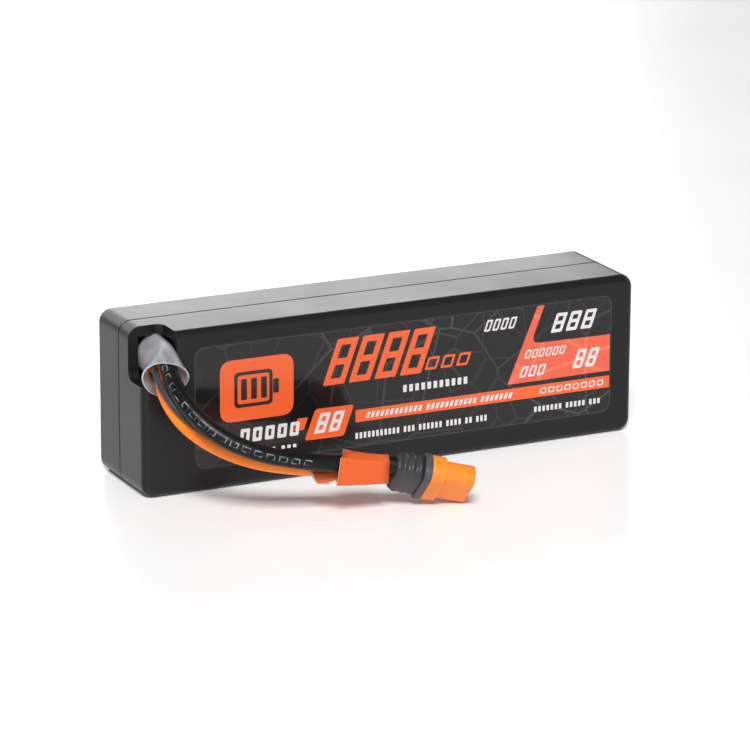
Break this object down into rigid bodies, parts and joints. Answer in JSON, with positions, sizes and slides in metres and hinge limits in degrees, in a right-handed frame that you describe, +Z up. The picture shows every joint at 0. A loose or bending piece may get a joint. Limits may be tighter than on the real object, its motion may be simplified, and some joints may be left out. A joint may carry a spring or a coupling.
{
  "type": "lipo battery pack",
  "caption": "Black hard-case lithium polymer battery pack with an orange and white printed label film, short black and orange silicone leads and an orange two-pole connector lying beside it.",
  "frame": {"origin": "Bottom centre of the hard case, on the surface it stands on.", "axes": "+X along the case, away from the end where the leads come out; +Y through the case, away from the labelled side; +Z up."},
  "size_m": [0.0971, 0.0495, 0.0293],
  "materials": {
    "black_case": "satin black moulded plastic",
    "printed_film": "gloss black printed film with orange and white printing",
    "pouch_foil": "satin aluminium laminate pouch",
    "nickel_tab": "bright nickel-plated strip",
    "aluminium_tab": "bright aluminium strip",
    "yellow_tape": "amber polyimide tape",
    "grey_foam": "fine closed-cell foam",
    "green_board": "dark green solder-resist board",
    "fibre_sheet": "dark grey fibre insulation",
    "black_epoxy": "matt black component body",
    "capacitor_ceramic": "tan ceramic",
    "solder": "bright solder",
    "boot_grey": "matt dark grey moulding",
    "cap_grey": "satin grey moulding",
    "orange_housing": "satin orange moulding",
    "gold_contact": "gold-plated contact",
    "black_silicone": "soft black silicone insulation",
    "orange_silicone": "soft orange silicone insulation",
    "grey_insulation": "thin grey insulation",
    "clear_tube": "frosted clear shrink tubing",
    "orange_sticker": "satin orange sticker"
  },
  "bodies": {
    "root": {"front_shell": "black_case", "rear_shell": "black_case", "front_label": "printed_film", "front_cell": "pouch_foil", "rear_cell": "pouch_foil", "front_cell_positive_tab": "aluminium_tab", "front_cell_negative_tab": "nickel_tab", "rear_cell_positive_tab": "aluminium_tab", "rear_cell_negative_tab": "nickel_tab", "cell_tape": "yellow_tape", "front_foam": "grey_foam", "rear_foam": "grey_foam", "end_foam": "grey_foam", "circuit_board": "green_board", "insulation_sheet": "fibre_sheet", "controller_chip": "black_epoxy", "power_transistors": "black_epoxy", "chip_resistors": "black_epoxy", "chip_capacitors": "capacitor_ceramic", "balance_resistors": "black_epoxy", "thermistor": "black_epoxy", "power_solder_joints": "solder", "data_solder_joint": "solder", "tab_solder_joints": "solder", "connector_boot": "boot_grey", "connector_cap": "cap_grey", "connector_housing": "orange_housing", "positive_contact": "gold_contact", "negative_contact": "gold_contact", "data_contact": "gold_contact", "negative_lead": "black_silicone", "positive_lead": "orange_silicone", "data_lead": "grey_insulation", "clear_sleeve": "clear_tube", "lead_wrap": "orange_sticker"}
  },
  "joints": []
}
